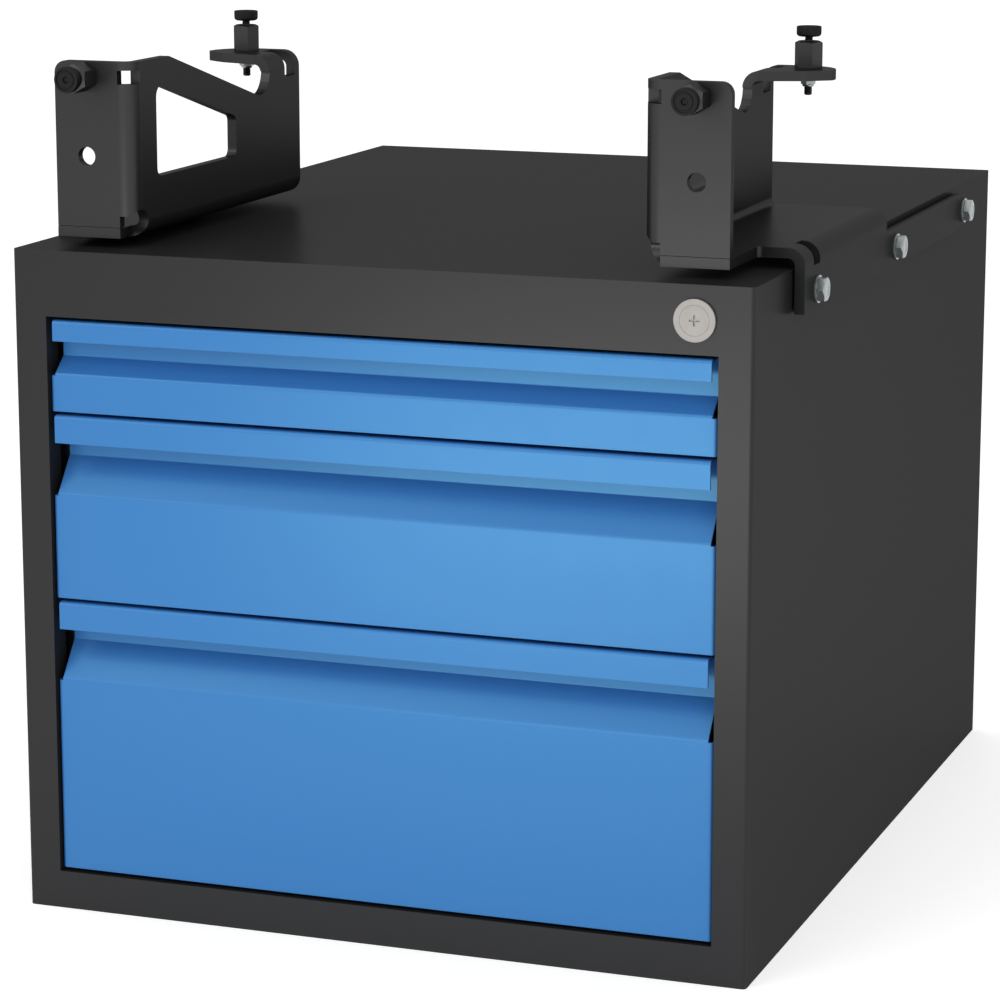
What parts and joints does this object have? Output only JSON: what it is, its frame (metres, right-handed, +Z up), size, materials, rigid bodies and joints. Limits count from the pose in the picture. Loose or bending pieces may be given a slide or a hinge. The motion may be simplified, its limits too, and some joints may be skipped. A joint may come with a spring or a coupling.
{
  "type": "under-table drawer unit",
  "caption": "Lockable sheet steel drawer unit with finger-groove fronts on ball runners, hung under a table by folded plate brackets with adjustable press feet.",
  "frame": {"origin": "middle of the casing's underside, halfway along its depth", "axes": "+Z up, +Y to the back, drawers open towards -Y, +X to the right seen from the front"},
  "size_m": [0.4766, 0.5871, 0.5218],
  "materials": {
    "casing_paint": "fine-texture powder coat, dark grey",
    "front_paint": "fine-texture powder coat, light blue",
    "bracket_paint": "satin powder coat, dark grey",
    "zinc": "bright zinc plate",
    "nickel": "satin nickel",
    "black_steel": "black oxide",
    "rubber": "matt black",
    "black_plastic": "matt black",
    "cage_plastic": "natural, off-white"
  },
  "bodies": {
    "cabinet": {"casing_shell": "casing_paint", "bottom_panel": "casing_paint", "back_panel": "casing_paint", "back_rivets": "zinc", "uprights_front": "zinc", "uprights_rear": "zinc", "runner_screws": "zinc", "lock_housing": "nickel", "lock_nut": "zinc", "bar_guides": "black_plastic", "bracket_left": "bracket_paint", "bracket_right": "bracket_paint", "bracket_bolts": "zinc", "bracket_washers": "zinc", "rivet_nuts": "zinc", "foot_sleeves": "black_steel", "foot_locknuts": "zinc", "outer_rails_1": "zinc", "outer_rails_2": "zinc", "outer_rails_3": "zinc"},
    "lock_plug": {"lock_cylinder": "nickel", "lock_cam": "zinc"},
    "locking_bar": {"lock_bar": "zinc", "lock_fingers": "zinc"},
    "drawer_1": {"drawer_front_1": "front_paint", "drawer_tray_1": "casing_paint", "front_rivets_1": "zinc", "drawer_catch_1": "zinc", "inner_rail_left_1": "zinc", "inner_rail_right_1": "zinc"},
    "slide_1": {"middle_rail_left_1": "zinc", "middle_rail_right_1": "zinc", "ball_cages_1": "cage_plastic"},
    "drawer_2": {"drawer_front_2": "front_paint", "drawer_tray_2": "casing_paint", "front_rivets_2": "zinc", "drawer_catch_2": "zinc", "inner_rail_left_2": "zinc", "inner_rail_right_2": "zinc"},
    "slide_2": {"middle_rail_left_2": "zinc", "middle_rail_right_2": "zinc", "ball_cages_2": "cage_plastic"},
    "drawer_3": {"drawer_front_3": "front_paint", "drawer_tray_3": "casing_paint", "front_rivets_3": "zinc", "drawer_catch_3": "zinc", "inner_rail_left_3": "zinc", "inner_rail_right_3": "zinc"},
    "slide_3": {"middle_rail_left_3": "zinc", "middle_rail_right_3": "zinc", "ball_cages_3": "cage_plastic"},
    "foot_rear_left": {"foot_stud_rear_left": "black_steel", "foot_pad_rear_left": "rubber"},
    "foot_rear_right": {"foot_stud_rear_right": "black_steel", "foot_pad_rear_right": "rubber"},
    "foot_front_left": {"foot_stud_front_left": "black_steel", "foot_pad_front_left": "rubber"},
    "foot_front_right": {"foot_stud_front_right": "black_steel", "foot_pad_front_right": "rubber"}
  },
  "joints": [
    {"name": "drawer_1_slide", "type": "slide", "parent": "cabinet", "child": "drawer_1", "axis": [0, -1, 0], "range_m": [0, 0.48]},
    {"name": "slide_1_slide", "type": "slide", "parent": "cabinet", "child": "slide_1", "axis": [0, -1, 0], "range_m": [0, 0.24]},
    {"name": "drawer_2_slide", "type": "slide", "parent": "cabinet", "child": "drawer_2", "axis": [0, -1, 0], "range_m": [0, 0.48]},
    {"name": "slide_2_slide", "type": "slide", "parent": "cabinet", "child": "slide_2", "axis": [0, -1, 0], "range_m": [0, 0.24]},
    {"name": "drawer_3_slide", "type": "slide", "parent": "cabinet", "child": "drawer_3", "axis": [0, -1, 0], "range_m": [0, 0.48]},
    {"name": "slide_3_slide", "type": "slide", "parent": "cabinet", "child": "slide_3", "axis": [0, -1, 0], "range_m": [0, 0.24]},
    {"name": "bar_slide", "type": "slide", "parent": "cabinet", "child": "locking_bar", "axis": [0, 0, -1], "range_m": [0, 0.0198]},
    {"name": "lock_turn", "type": "hinge", "parent": "cabinet", "child": "lock_plug", "pos_m": [0.1909, -0.29, 0.3803], "axis": [0, 1, 0], "range_deg": [0, 90]},
    {"name": "foot_rear_left_screw", "type": "slide", "parent": "cabinet", "child": "foot_rear_left", "axis": [0, 0, 1], "range_m": [-0.002, 0.004]},
    {"name": "foot_rear_right_screw", "type": "slide", "parent": "cabinet", "child": "foot_rear_right", "axis": [0, 0, 1], "range_m": [-0.002, 0.004]},
    {"name": "foot_front_left_screw", "type": "slide", "parent": "cabinet", "child": "foot_front_left", "axis": [0, -1, 0], "range_m": [-0.002, 0.004]},
    {"name": "foot_front_right_screw", "type": "slide", "parent": "cabinet", "child": "foot_front_right", "axis": [0, -1, 0], "range_m": [-0.002, 0.004]}
  ],
  "couplings": [
    {"joint": "slide_1_slide", "follows": "drawer_1_slide", "ratio": 0.5},
    {"joint": "slide_2_slide", "follows": "drawer_2_slide", "ratio": 0.5},
    {"joint": "slide_3_slide", "follows": "drawer_3_slide", "ratio": 0.5},
    {"joint": "lock_turn", "follows": "bar_slide", "rad_per_m": 79.333}
  ]
}
